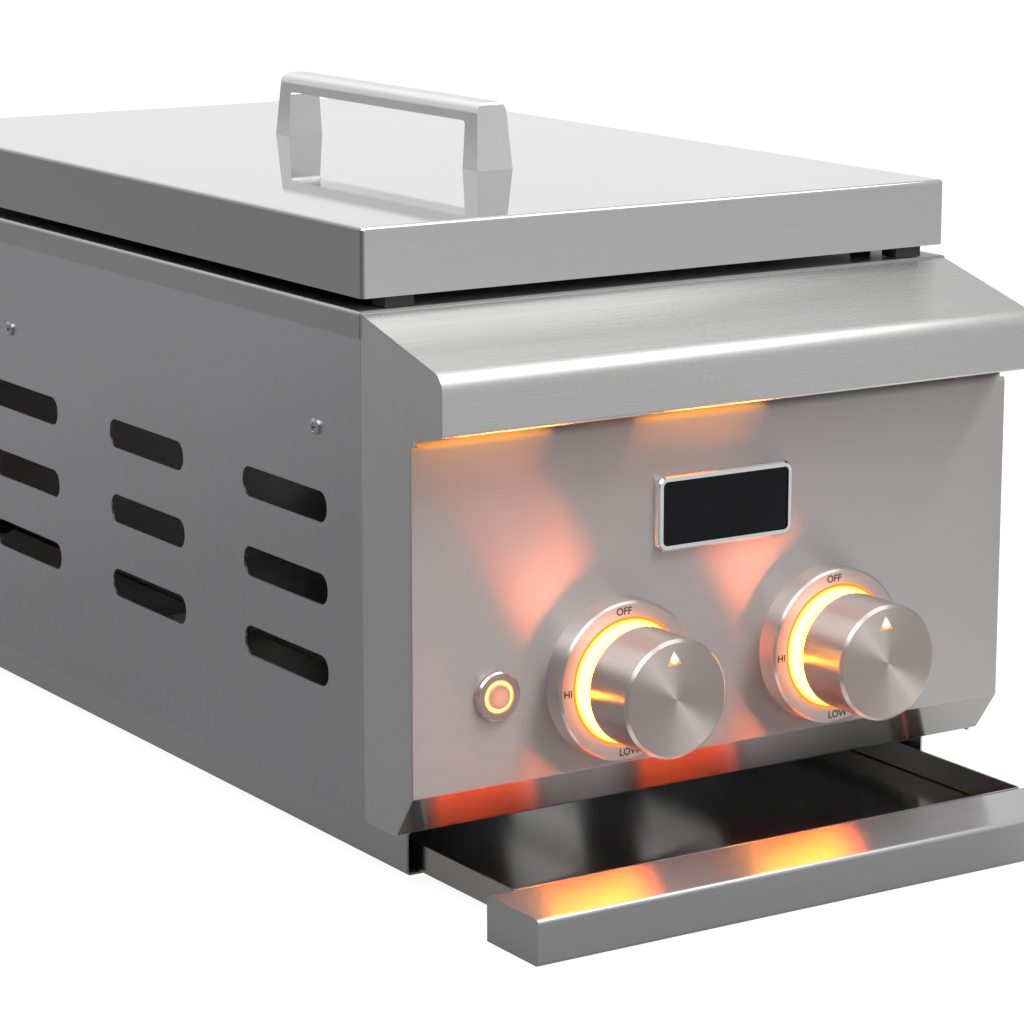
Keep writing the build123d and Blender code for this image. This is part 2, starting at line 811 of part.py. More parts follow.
def wiring_loom():
    """Leads from the light module to the button, both light rings and the power socket."""
    width, depth, height = module_size
    middle = firewall_front - depth / 2
    face = firewall_front - depth
    under = module_z - height / 2
    button_back = panel_face + button_barrel_length
    leads = [
        ((button_x, middle, under), (button_x, middle, control_z), (button_x, button_back, control_z)),
        ((socket_x, rear - fold, socket_z), (socket_x, middle, socket_z), (socket_x, middle, under)),
    ]
    ring_back = bezel_face + bezel_wall + light_thickness
    for i, x in enumerate(knob_axes.values()):
        start = (module_x + width / 3, face, module_z + (i - 0.5) * height / 2)
        turn = (start[0], face - 3 * lead_bend, start[2])
        level = (x, turn[1] - lead_bend, control_z + lead_offset)
        leads.append((start, turn, level, (x, ring_back, level[2])))
    return Compound(children=[pipe(points, lead_radius, lead_bend) for points in leads])


def power_socket():
    y = (rear, rear + 2 * sheet)
    socket = rod_y(socket_flange, socket_x, y, socket_z)
    socket += rod_y(socket_radius, socket_x, (rear - fold, rear + sheet), socket_z)
    hole = (rear - fold + 2 * sheet, rear + 2 * sheet)
    socket -= rod_y(socket_bore, socket_x, hole, socket_z)
    return socket + rod_y(socket_pin, socket_x, (hole[0], hole[1] - 2 * sheet), socket_z)


def case_screws():
    screws = []
    for side in (-1, 1):
        for y in screw_rows:
            place = Plane(origin=(side * half, y, side_screw_z), x_dir=(0, 1, 0), z_dir=(side, 0, 0))
            screws.append(pan_head_screw(place, side_screw_length))
    for x, z in rear_screw_places():
        place = Plane(origin=(x, rear, z), x_dir=(1, 0, 0), z_dir=(0, 1, 0))
        screws.append(pan_head_screw(place, sheet))
    return Compound(children=screws)


def lid_shell():
    y = (case_front, case_front + lid_depth)
    shell = block((-lid_half, lid_half), y, (lid_bottom, lid_top))
    shell = fillet(shell.edges().filter_by(Axis.Z) + shell.edges().group_by(Axis.Z)[-1], bend)
    room = (lid_bottom + sheet, lid_top - sheet)
    hollow = block((-lid_half + sheet, lid_half - sheet), (y[0] + sheet, y[1] - sheet), room)
    shell -= fillet(hollow.edges().filter_by(Axis.Z) + hollow.edges().group_by(Axis.Z)[-1], bend - sheet)
    mouth = (lid_bottom, lid_bottom + sheet)
    shell -= block((-lid_half + lid_hem, lid_half - lid_hem), (y[0] + lid_hem, y[1] - lid_hem), mouth)
    for place in handle_feet():
        shell -= rod_z(screw_radius + seam, 0, place, (lid_top - sheet, lid_top))
    return shell


def handle_feet():
    reach = (handle_length + handle_opening) / 4
    return (-reach, reach)


def lid_handle():
    base = lid_top
    top = base + handle_height
    side = make_face(Polyline(
        (-handle_length / 2, base), (handle_length / 2, base),
        (handle_top_length / 2, top), (-handle_top_length / 2, top), close=True,
    ))
    corners = [((end * handle_top_length / 2, top), handle_corner) for end in (-1, 1)]
    handle = along_x(rounded(side, corners), (-handle_width, handle_width))
    section = make_face(Polyline(
        (-handle_width / 2, base), (handle_width / 2, base),
        (handle_top_width / 2, top), (-handle_top_width / 2, top), close=True,
    ))
    crown = [((end * handle_top_width / 2, top), handle_crown) for end in (-1, 1)]
    plane = Plane(origin=(0, handle_length, 0), x_dir=(1, 0, 0), z_dir=(0, -1, 0))
    handle = handle & raised(rounded(section, crown), plane, 2 * handle_length)
    reach = handle_opening / 2
    gap = block((-handle_width, handle_width), (-reach, reach), (base, top - handle_bar))
    handle -= fillet(gap.edges().filter_by(Axis.X).group_by(Axis.Z)[-1], bend)
    for y in handle_feet():
        handle -= rod_z(screw_radius + seam, 0, y, (base, base + screw_grip + seam))
    return handle


def handle_screws():
    screws = []
    for y in handle_feet():
        under = lid_top - sheet
        screw = rod_z(2 * screw_radius, 0, y, (under - screw_radius, under))
        screw += rod_z(screw_radius, 0, y, (under, lid_top + screw_grip))
        screws.append(screw)
    return Compound(children=screws)


def lid_bumpers():
    pads = []
    for x in (-bumper_x, bumper_x):
        for y in (case_front + lid_hem / 2, case_front + lid_depth - lid_hem / 2):
            pads.append(block(
                (x - bumper_width / 2, x + bumper_width / 2),
                (y - bumper_depth / 2, y + bumper_depth / 2),
                (deck_height + fit, lid_bottom),
            ))
    return Compound(children=pads)


def tray_pan():
    z = (tray_floor, tray_top)
    pan = block((-tray_half, tray_half), (tray_mouth, tray_rear), z)
    pan = fillet(pan.edges().group_by(Axis.Z)[0] + pan.edges().filter_by(Axis.Z), bend)
    inner_half = tray_half - sheet
    room = (tray_floor + sheet, tray_top)
    hollow = block((-inner_half, inner_half), (tray_mouth + sheet, tray_rear - sheet), room)
    pan -= fillet(hollow.edges().group_by(Axis.Z)[0] + hollow.edges().filter_by(Axis.Z), bend - sheet)
    for x in tray_rivet_columns():
        pan -= rod_y(shank_radius + seam, x, (tray_mouth, tray_mouth + sheet), tray_rivet_z())
    return pan


def tray_rivet_columns():
    return [side * share * tray_half for share in tray_rivet_shares for side in (-1, 1)]


def tray_rivet_z():
    return (tray_floor + tray_top) / 2


def tray_front():
    back = tray_mouth
    face = back - tray_front_depth
    low = tray_top - tray_front_height
    line = [
        (back, tray_floor),
        (back, tray_top),
        (face, tray_top),
        (face, low),
        (face + fold, low),
    ]
    radii = (sheet + edge_break, bend, bend)
    front = folded(line, (-tray_front_half, tray_front_half), sheet, radii)
    end = make_face(Polyline((back, low), *line[1:4], close=True))
    end = rounded(end, list(zip(line[1:4], radii)))
    for side in (-1, 1):
        front += along_x(end, (side * (tray_front_half - sheet), side * tray_front_half))
    for x in tray_rivet_columns():
        front -= rod_y(shank_radius + seam, x, (back - sheet, back), tray_rivet_z())
    return front


def tray_rivets():
    rivets = []
    for x in tray_rivet_columns():
        place = Plane(origin=(x, tray_mouth + sheet, tray_rivet_z()), x_dir=(1, 0, 0), z_dir=(0, 1, 0))
        rivet = pan_head_screw(place, 2 * sheet)
        rivet += rod_y(head_radius, x, (tray_mouth - 2 * sheet, tray_mouth - sheet), tray_rivet_z())
        rivets.append(rivet)
    return Compound(children=rivets)


nodes = {
    "base_pan": base_pan(),
    "left_side_panel": left_side_panel(),
    "right_side_panel": mirrored(left_side_panel()),
    "rear_panel": rear_panel(),
    "firewall": firewall(),
    "top_deck": top_deck(),
    "burner_pan": burner_pan(),
    "front_hood": front_hood(),
    "control_panel": control_panel(),
    "left_end_plate": left_end_plate(),
    "right_end_plate": mirrored(left_end_plate()),
    "badge_rim": badge_rim(),
    "badge_plate": badge_plate(),
    "tray_guides": tray_guides(),
    "gas_manifold": gas_manifold(),
    "gas_inlet": gas_inlet(),
    "supply_pipe": supply_pipe(),
    "igniter_insulators": igniter_insulators(),
    "igniter_tips": igniter_tips(),
    "light_module": light_module(),
    "wiring_loom": wiring_loom(),
    "power_socket": power_socket(),
    "button_bezel": button_bezel(),
    "button_light": button_light(),
    "button_cap": button_cap(),
    "button_nut": button_nut(),
    "case_screws": case_screws(),
    "lid_shell": lid_shell(),
    "lid_handle": lid_handle(),
    "handle_screws": handle_screws(),
    "lid_bumpers": lid_bumpers(),
    "tray_pan": tray_pan(),
    "tray_front": tray_front(),
    "tray_rivets": tray_rivets(),
}
for name in grate_rows:
    nodes[f"{name}_burner_base"] = burner_base(name)
    nodes[f"{name}_burner_cap"] = burner_cap(name)
    nodes[f"{name}_feed_tube"] = feed_tube(name)
    nodes[f"{name}_grate"] = grate(name)
for side in knob_axes:
    nodes[f"{side}_valve_body"] = valve_body(side)
    nodes[f"{side}_valve_plug"] = valve_plug(side)
    nodes[f"{side}_valve_stem"] = valve_stem(side)
    nodes[f"{side}_stem_spring"] = stem_spring(side)
    nodes[f"{side}_knob_bezel"] = knob_bezel(side)
    nodes[f"{side}_light_ring"] = light_ring(side)
    nodes[f"{side}_knob"] = knob(side)
    nodes[f"{side}_knob_hub"] = knob_hub(side)
    nodes[f"{side}_knob_pointer"] = pointer_prism(side)

for name, shape in nodes.items():
    export_step(shape, f"parts/{name}.step")
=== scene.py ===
import math

import bmesh
import bpy
from mathutils import Matrix, Vector


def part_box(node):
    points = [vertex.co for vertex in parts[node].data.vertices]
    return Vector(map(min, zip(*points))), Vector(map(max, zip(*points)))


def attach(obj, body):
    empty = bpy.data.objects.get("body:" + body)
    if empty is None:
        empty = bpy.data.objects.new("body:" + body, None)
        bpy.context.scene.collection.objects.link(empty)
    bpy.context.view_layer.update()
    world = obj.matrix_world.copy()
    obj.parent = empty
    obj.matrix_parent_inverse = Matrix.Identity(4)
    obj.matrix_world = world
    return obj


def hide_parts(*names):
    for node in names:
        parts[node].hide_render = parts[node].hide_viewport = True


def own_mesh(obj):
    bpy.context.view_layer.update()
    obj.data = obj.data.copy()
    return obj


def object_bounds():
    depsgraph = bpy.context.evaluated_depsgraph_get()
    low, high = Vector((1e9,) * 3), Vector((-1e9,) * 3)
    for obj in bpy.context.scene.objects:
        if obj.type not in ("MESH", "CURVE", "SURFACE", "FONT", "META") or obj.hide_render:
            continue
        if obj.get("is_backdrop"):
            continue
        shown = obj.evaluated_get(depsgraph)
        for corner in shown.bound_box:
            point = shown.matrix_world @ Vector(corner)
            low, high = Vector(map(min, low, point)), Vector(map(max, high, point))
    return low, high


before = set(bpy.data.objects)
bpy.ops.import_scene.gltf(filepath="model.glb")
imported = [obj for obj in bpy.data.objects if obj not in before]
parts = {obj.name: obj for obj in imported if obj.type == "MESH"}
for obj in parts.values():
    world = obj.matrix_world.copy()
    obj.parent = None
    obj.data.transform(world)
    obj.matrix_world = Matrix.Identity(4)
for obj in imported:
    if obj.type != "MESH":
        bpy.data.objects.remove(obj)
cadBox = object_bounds()
print("frame loaded:", len(parts), "nodes")

mm = 0.001
xGrain = (1.0, 0.0, 0.05)  # brushed from side to side, and up and down on faces that look along X
zGrain = (0.0, 0.05, 1.0)  # brushed up and down


# Node helpers

def feed(tree, socket, source):
    if isinstance(source, bpy.types.NodeSocket):
        tree.links.new(source, socket)
    else:
        socket.default_value = source


def put(tree, kind, inputs=None, **settings):
    node = tree.nodes.new(kind)
    for name, value in settings.items():
        setattr(node, name, value)
    for socket, source in (inputs or {}).items():
        feed(tree, node.inputs[socket], source)
    return node


def sums(tree, operation, a, b=0.0, c=0.0):
    return put(tree, "ShaderNodeMath", {0: a, 1: b, 2: c}, operation=operation).outputs[0]


def vectors(tree, operation, a, b=(0.0, 0.0, 0.0)):
    return put(tree, "ShaderNodeVectorMath", {0: a, 1: b}, operation=operation)


def ranged(tree, value, fromLow, fromHigh, toLow, toHigh, curve="LINEAR"):
    inputs = {"Value": value, "From Min": fromLow, "From Max": fromHigh, "To Min": toLow, "To Max": toHigh}
    return put(tree, "ShaderNodeMapRange", inputs, interpolation_type=curve).outputs[0]


def eased(tree, value, span, toLow, toHigh):
    return ranged(tree, value, *span, toLow, toHigh, "SMOOTHSTEP")


def shaded(tree, colour, factor):
    # the colour made lighter or darker by a factor
    node = put(tree, "ShaderNodeVectorMath", {0: colour}, operation="SCALE")
    feed(tree, node.inputs["Scale"], factor)
    return node.outputs[0]


def noise(tree, place, scale, detail):
    return put(tree, "ShaderNodeTexNoise", {"Vector": place, "Scale": scale, "Detail": detail}).outputs["Fac"]


def newGroup(name, inputs, outputs):
    group = bpy.data.node_groups.new(name, "ShaderNodeTree")
    for label, kind in inputs:
        group.interface.new_socket(label, in_out="INPUT", socket_type="NodeSocket" + kind)
    for label, kind in outputs:
        group.interface.new_socket(label, in_out="OUTPUT", socket_type="NodeSocket" + kind)
    source = group.nodes.new("NodeGroupInput").outputs
    sink = group.nodes.new("NodeGroupOutput").inputs
    return group, source, sink


def useGroup(tree, group, inputs):
    node = tree.nodes.new("ShaderNodeGroup")
    node.node_tree = group
    for label, source in inputs.items():
        feed(tree, node.inputs[label], source)
    return node.outputs


# Shared effects

grainOutputs = [("Colour", "Color"), ("Roughness", "Float"), ("Height", "Float")]

brushLines = dict(wider=0.21, fineShare=0.6, wideShare=0.4, contrast=(0.32, 0.68))
handMarks = dict(scale=7.0, contrast=(0.3, 0.7), swing=0.6)


def makeSheetGrain():
    # long fine brush lines with a few wider ones, and faint hand marks in the gloss
    inputs = [
        ("Steel", "Color"), ("Stretch", "Vector"), ("Depth", "Float"),
        ("Rough", "Float"), ("Rough Swing", "Float"),
    ]
    group, given, made = newGroup("sheetGrain", inputs, grainOutputs)
    coords = put(group, "ShaderNodeTexCoord").outputs["Object"]
    fineAt = vectors(group, "MULTIPLY", coords, given["Stretch"]).outputs[0]
    wideAt = vectors(group, "MULTIPLY", fineAt, (brushLines["wider"],) * 3).outputs[0]
    fine = noise(group, fineAt, 1.0, 2.0)
    wide = noise(group, wideAt, 1.0, 1.0)
    hands = noise(group, coords, handMarks["scale"], 3.0)
    streak = sums(group, "MULTIPLY", wide, brushLines["wideShare"])
    streak = sums(group, "MULTIPLY_ADD", fine, brushLines["fineShare"], streak)
    swing = ranged(group, streak, *brushLines["contrast"], -1.0, 1.0)
    marks = ranged(group, hands, *handMarks["contrast"], -handMarks["swing"], handMarks["swing"])
    shade = sums(group, "MULTIPLY_ADD", swing, given["Depth"], 1.0)
    feed(group, made["Colour"], shaded(group, given["Steel"], shade))
    both = sums(group, "ADD", swing, marks)
    feed(group, made["Roughness"], sums(group, "MULTIPLY_ADD", both, given["Rough Swing"], given["Rough"]))
    feed(group, made["Height"], streak)
    return group


def aroundY(group):
    # the place in the part's own box from its middle, and the distance from its Y axis
    coords = put(group, "ShaderNodeTexCoord").outputs["Generated"]
    centred = vectors(group, "SUBTRACT", coords, (0.5, 0.5, 0.5)).outputs[0]
    flat = vectors(group, "MULTIPLY", centred, (1.0, 0.0, 1.0)).outputs[0]
    return centred, vectors(group, "LENGTH", flat).outputs["Value"]


turningMarks = dict(contrast=(0.3, 0.7), roughSwing=0.04)


def makeSpunGrain():
    # rings round the part's own Y axis: turning marks on a face, brush lines round a barrel
    inputs = [("Steel", "Color"), ("Lines", "Float"), ("Depth", "Float"), ("Rough", "Float")]
    group, given, made = newGroup("spunGrain", inputs, grainOutputs)
    centred, radius = aroundY(group)
    depth = put(group, "ShaderNodeSeparateXYZ", {0: centred}).outputs["Y"]
    across = sums(group, "MULTIPLY", radius, given["Lines"])
    along = sums(group, "MULTIPLY", depth, given["Lines"])
    at = put(group, "ShaderNodeCombineXYZ", {0: across, 1: along}).outputs[0]
    rings = noise(group, at, 1.0, 3.0)
    swing = ranged(group, rings, *turningMarks["contrast"], -1.0, 1.0)
    shade = sums(group, "MULTIPLY_ADD", swing, given["Depth"], 1.0)
    feed(group, made["Colour"], shaded(group, given["Steel"], shade))
    feed(group, made["Roughness"], sums(group, "MULTIPLY_ADD", swing, turningMarks["roughSwing"], given["Rough"]))
    feed(group, made["Height"], rings)
    return group


skinMarks = dict(patchScale=22.0, bumpShare=0.4, patchShare=0.6, contrast=(0.35, 0.65), cellShare=0.5)


def makePits():
    # the fine uneven skin of castings, mouldings, glaze and rubber
    inputs = [
        ("Base", "Color"), ("Grain Size", "Float"), ("Mottle", "Float"),
        ("Rough", "Float"), ("Rough Swing", "Float"),
    ]
    group, given, made = newGroup("pits", inputs, grainOutputs)
    coords = put(group, "ShaderNodeTexCoord").outputs["Object"]
    scale = sums(group, "DIVIDE", 1.0, given["Grain Size"])
    bumps = noise(group, coords, scale, 4.0)
    cells = put(group, "ShaderNodeTexVoronoi", {"Vector": coords, "Scale": scale}).outputs["Distance"]
    patches = noise(group, coords, skinMarks["patchScale"], 3.0)
    mixed = sums(group, "MULTIPLY", patches, skinMarks["patchShare"])
    mixed = sums(group, "MULTIPLY_ADD", bumps, skinMarks["bumpShare"], mixed)
    swing = ranged(group, mixed, *skinMarks["contrast"], -1.0, 1.0)
    shade = sums(group, "MULTIPLY_ADD", swing, given["Mottle"], 1.0)
    feed(group, made["Colour"], shaded(group, given["Base"], shade))
    feed(group, made["Roughness"], sums(group, "MULTIPLY_ADD", swing, given["Rough Swing"], given["Rough"]))
    feed(group, made["Height"], sums(group, "MULTIPLY_ADD", cells, skinMarks["cellShare"], bumps))
    return group


glowEdge = 0.42  # how far up the hump the orange edge reaches


def makeGlow():
    # light that is strongest in the middle of a ring round Y and falls off to both its edges
    inputs = [("Inner", "Float"), ("Outer", "Float"), ("Hot", "Color"), ("Edge", "Color")]
    group, given, made = newGroup("ringGlow", inputs, [("Colour", "Color")])
    share = ranged(group, aroundY(group)[1], given["Inner"], given["Outer"], 0.0, 1.0)
    fall = sums(group, "SUBTRACT", 1.0, share)
    hump = sums(group, "MULTIPLY", sums(group, "MULTIPLY", share, fall), 4.0)
    heat = ranged(group, hump, glowEdge, 1.0, 0.0, 1.0, "SMOOTHSTEP")
    mix = put(group, "ShaderNodeMix", {"Factor": heat, 6: given["Edge"], 7: given["Hot"]}, data_type="RGBA")
    feed(group, made["Colour"], mix.outputs[2])
    return group


sheetGrain = makeSheetGrain()
spunGrain = makeSpunGrain()
pits = makePits()
ringGlow = makeGlow()
print("shared effects made")


# Finishes

def newFinish(name):
    material = bpy.data.materials.new(name)
    material.use_nodes = True
    tree = material.node_tree
    return material, tree, tree.nodes["Principled BSDF"].inputs


def bumped(tree, height, strength, distance):
    inputs = {"Height": height, "Strength": strength, "Distance": distance}
    return put(tree, "ShaderNodeBump", inputs).outputs[0]


# how far a face has to turn to count as level, looking down, lying on top or looking back
levelSpan, downSpan, topSpan, backShadeSpan = (0.3, 0.8), (-0.5, -0.3), (0.5, 0.8), (0.4, 0.8)
brush = dict(fineness=1900.0, length=11.0, bump=0.04, relief=0.06 * mm)
turning = dict(bump=0.05, relief=0.05 * mm)


def brushedSheet(
    name, steel, grain, rough, spread, depth=0.05, swing=0.03, uprightShade=1.0, flankShade=1.0, under=1.0,
    underRough=None, topRough=None,
):
    # faces that stand up straight, look to the side or look down get painted shade: their colour is darkened by
    # the way they face, while those that lie flat keep it
    material, tree, shader = newFinish(name)
    stretch = [brush["length"] if abs(along) > 0.5 else brush["fineness"] for along in grain]
    facing = put(tree, "ShaderNodeNewGeometry").outputs["Normal"]
    axes = put(tree, "ShaderNodeSeparateXYZ", {0: facing}).outputs
    facingShade = ranged(tree, sums(tree, "ABSOLUTE", axes["Z"]), *levelSpan, uprightShade, 1.0)
    sidewaysShade = ranged(tree, sums(tree, "ABSOLUTE", axes["X"]), *levelSpan, 1.0, flankShade)
    facingShade = sums(tree, "MULTIPLY", facingShade, sidewaysShade)
    facingShade = sums(tree, "MULTIPLY", facingShade, ranged(tree, axes["Z"], *downSpan, under, 1.0))
    if underRough:
        rough = ranged(tree, axes["Z"], *downSpan, underRough, rough)
    if topRough:
        rough = ranged(tree, axes["Z"], *topSpan, rough, topRough)
    grained = useGroup(tree, sheetGrain, {
        "Steel": shaded(tree, steel, facingShade),
        "Stretch": stretch, "Depth": depth, "Rough": rough, "Rough Swing": swing,
    })
    feed(tree, shader["Base Color"], grained["Colour"])
    feed(tree, shader["Roughness"], grained["Roughness"])
    shader["Metallic"].default_value = 1.0
    shader["Anisotropic"].default_value = spread
    feed(tree, shader["Tangent"], vectors(tree, "CROSS_PRODUCT", facing, grain).outputs[0])
    feed(tree, shader["Normal"], bumped(tree, grained["Height"], brush["bump"], brush["relief"]))
    return material


def spunMetal(name, steel, lines, rough, spread, depth=0.06, barrelRough=None, back=1.0):
    # the barrel can be rougher than the face, and the back gets painted shade, darker than the face
    material, tree, shader = newFinish(name)
    normal = put(tree, "ShaderNodeNewGeometry").outputs["Normal"]
    facing = put(tree, "ShaderNodeSeparateXYZ", {0: normal}).outputs["Y"]
    flat = sums(tree, "ABSOLUTE", facing)
    rough = ranged(tree, flat, *levelSpan, barrelRough or rough, rough)
    steel = shaded(tree, steel, ranged(tree, facing, *backShadeSpan, 1.0, back))
    grained = useGroup(tree, spunGrain, {"Steel": steel, "Lines": lines, "Depth": depth, "Rough": rough})
    feed(tree, shader["Base Color"], grained["Colour"])
    feed(tree, shader["Roughness"], grained["Roughness"])
    shader["Metallic"].default_value = 1.0
    shader["Anisotropic"].default_value = spread
    shader["Anisotropic Rotation"].default_value = 0.25  # a quarter turn, so the gloss runs out from the middle
    around = put(tree, "ShaderNodeTangent", direction_type="RADIAL", axis="Y").outputs[0]
    feed(tree, shader["Tangent"], around)
    feed(tree, shader["Normal"], bumped(tree, grained["Height"], turning["bump"], turning["relief"]))
    return material


def pittedSkin(
    name, base, grainSize, rough, metallic=0.0, mottle=0.1, swing=0.06, bump=0.15, relief=0.2 * mm,
    coat=0.0, gloss=0.5,
):
    material, tree, shader = newFinish(name)
    skin = useGroup(tree, pits, {
        "Base": (*base, 1.0), "Grain Size": grainSize, "Mottle": mottle, "Rough": rough, "Rough Swing": swing,
    })
    feed(tree, shader["Base Color"], skin["Colour"])
    feed(tree, shader["Roughness"], skin["Roughness"])
    shader["Metallic"].default_value = metallic
    shader["Coat Weight"].default_value = coat
    shader["Specular IOR Level"].default_value = gloss
    feed(tree, shader["Normal"], bumped(tree, skin["Height"], bump, relief))
    return material


frosted = {"Grain Size": 0.8 * mm, "Mottle": 0.05, "Rough": 0.45, "Rough Swing": 0.05}


def litRing(name, inner, outer, hot, edge, strength, base):
    material, tree, shader = newFinish(name)
    glow = useGroup(tree, ringGlow, {"Inner": inner, "Outer": outer, "Hot": (*hot, 1.0), "Edge": (*edge, 1.0)})
    skin = useGroup(tree, pits, {"Base": (*base, 1.0), **frosted})
    feed(tree, shader["Base Color"], skin["Colour"])
    feed(tree, shader["Roughness"], skin["Roughness"])
    feed(tree, shader["Emission Color"], glow["Colour"])
    shader["Emission Strength"].default_value = strength
    return material


# upright, flank and under darken a sheet's colour by the way its faces turn, as painted shade
sheetFinishes = {
    "sideSteel": dict(
        steel=(0.46, 0.457, 0.471), grain=zGrain, rough=0.28, spread=0.85, depth=0.035,
        nodes=("left_side_panel", "right_side_panel"),
    ),
    "endSteel": dict(
        steel=(0.60, 0.60, 0.61), grain=zGrain, rough=0.40, spread=0.85, depth=0.03,
        nodes=("left_end_plate", "right_end_plate"),
    ),
    "rearSteel": dict(steel=(0.50, 0.50, 0.505), grain=xGrain, rough=0.42, spread=0.85, nodes=("rear_panel",)),
    # the panel steel's warm pink tint is painted glow from the knob lights
    "panelSteel": dict(
        steel=(0.528, 0.503, 0.501), grain=xGrain, rough=0.44, spread=1.0, depth=0.02, swing=0.012,
        under=0.50, underRough=0.20, nodes=("control_panel",),
    ),
    "hoodSteel": dict(
        steel=(0.65, 0.647, 0.645), grain=xGrain, rough=0.27, spread=0.93, depth=0.02, swing=0.010, uprightShade=0.86,
        nodes=("front_hood",),
    ),
    "lidSteel": dict(
        steel=(0.66, 0.66, 0.658), grain=xGrain, rough=0.065, spread=0.40, depth=0.02, swing=0.005, uprightShade=0.87,
        flankShade=0.56, topRough=0.025, nodes=("lid_shell",),
    ),
    "deckSteel": dict(steel=(0.40, 0.40, 0.405), grain=xGrain, rough=0.34, spread=0.80, nodes=("top_deck",)),
    "traySteel": dict(
        steel=(0.56, 0.56, 0.57), grain=xGrain, rough=0.25, spread=0.90, depth=0.02, swing=0.015, uprightShade=0.88,
        nodes=("tray_front",),
    ),
    # the tray pan's steel is darker than the tray front's, as painted shade inside the tray
    "trayInside": dict(
        steel=(0.42, 0.41, 0.40), grain=xGrain, rough=0.15, spread=0.70, depth=0.03, swing=0.015,
        nodes=("tray_pan",),
    ),
    "baseSteel": dict(
        steel=(0.50, 0.50, 0.505), grain=xGrain, rough=0.36, spread=0.55, swing=0.05, nodes=("base_pan",),
    ),
    "panSteel": dict(
        steel=(0.50, 0.50, 0.505), grain=xGrain, rough=0.36, spread=0.55, swing=0.05, flankShade=0.35,
        nodes=("firewall", "burner_pan", "tray_guides"),
    ),
}

spunFinishes = {
    # the warm pink tint of the knob and bezel steels is painted glow from the knob lights
    "knobSteel": dict(
        # back=0.25 gives the knob's back painted shade
        steel=(0.60, 0.525, 0.495), lines=150.0, rough=0.44, spread=0.90, barrelRough=0.38, back=0.25,
        nodes=("left_knob", "right_knob"),
    ),
    "bezelSteel": dict(
        steel=(0.60, 0.555, 0.535), lines=210.0, rough=0.36, spread=0.90, barrelRough=0.40,
        nodes=("left_knob_bezel", "right_knob_bezel"),
    ),
    "stemSteel": dict(
        steel=(0.60, 0.60, 0.60), lines=40.0, rough=0.28, spread=0.6,
        nodes=("left_valve_stem", "right_valve_stem"),
    ),
}

skinFinishes = {
    "handleChrome": dict(
        base=(0.74, 0.74, 0.745), grainSize=1.2 * mm, rough=0.19, metallic=1.0, mottle=0.02, swing=0.03,
        bump=0.03, nodes=("lid_handle",),
    ),
    "trimChrome": dict(
        base=(0.78, 0.78, 0.79), grainSize=2.0 * mm, rough=0.09, metallic=1.0, mottle=0.02, swing=0.02,
        bump=0.01, nodes=("badge_rim",),
    ),
    # the button bezel's pink tint is painted glow from the button light
    "buttonChrome": dict(
        base=(0.64, 0.50, 0.46), grainSize=2.0 * mm, rough=0.22, metallic=1.0, mottle=0.02, swing=0.03,
        bump=0.01, nodes=("button_bezel",),
    ),
    "badgeEnamel": dict(
        base=(0.005, 0.005, 0.006), grainSize=4.0 * mm, rough=0.16, mottle=0.2, swing=0.03, bump=0.01, gloss=0.12,
        nodes=("badge_plate",),
    ),
    "valveBrass": dict(
        base=(0.72, 0.53, 0.24), grainSize=1.5 * mm, rough=0.30, metallic=1.0, mottle=0.06, bump=0.05,
        nodes=("left_valve_body", "right_valve_body", "left_valve_plug", "right_valve_plug", "gas_inlet"),
    ),
    "burnerBrass": dict(
        base=(0.62, 0.43, 0.19), grainSize=1.0 * mm, rough=0.38, metallic=1.0, mottle=0.14, swing=0.1, bump=0.1,
        nodes=("front_burner_cap", "rear_burner_cap"),
    ),
    "grateEnamel": dict(
        base=(0.018, 0.018, 0.018), grainSize=1.1 * mm, rough=0.50, mottle=0.25, swing=0.1, bump=0.5,
        relief=0.4 * mm, nodes=("front_grate", "rear_grate"),
    ),
    "castAluminium": dict(
        base=(0.55, 0.55, 0.56), grainSize=1.2 * mm, rough=0.48, metallic=1.0, mottle=0.1, swing=0.08, bump=0.35,
        relief=0.3 * mm, nodes=("front_burner_base", "rear_burner_base", "front_feed_tube", "rear_feed_tube"),
    ),
    "pipeZinc": dict(
        base=(0.46, 0.47, 0.48), grainSize=6.0 * mm, rough=0.42, metallic=1.0, mottle=0.16, swing=0.1, bump=0.04,
        nodes=("gas_manifold", "supply_pipe"),
    ),
    "igniterGlaze": dict(
        base=(0.83, 0.81, 0.76), grainSize=1.5 * mm, rough=0.18, mottle=0.04, swing=0.04, bump=0.04, coat=0.4,
        nodes=("igniter_insulators",),
    ),
    "blackMoulding": dict(
        base=(0.022, 0.022, 0.023), grainSize=0.5 * mm, rough=0.46, mottle=0.1, bump=0.2, relief=0.08 * mm,
        nodes=("light_module", "power_socket", "left_knob_hub", "right_knob_hub"),
    ),
    "wireJacket": dict(
        base=(0.030, 0.030, 0.032), grainSize=0.8 * mm, rough=0.38, mottle=0.1, bump=0.05, relief=0.05 * mm,
        nodes=("wiring_loom",),
    ),
    "bumperRubber": dict(
        base=(0.016, 0.016, 0.016), grainSize=0.6 * mm, rough=0.72, mottle=0.15, bump=0.3, relief=0.1 * mm,
        nodes=("lid_bumpers",),
    ),
    "fastenerZinc": dict(
        base=(0.44, 0.44, 0.45), grainSize=0.7 * mm, rough=0.26, metallic=1.0, mottle=0.06, bump=0.05,
        nodes=(
            "case_screws", "handle_screws", "tray_rivets", "button_nut", "igniter_tips",
            "left_stem_spring", "right_stem_spring",
        ),
    ),
}

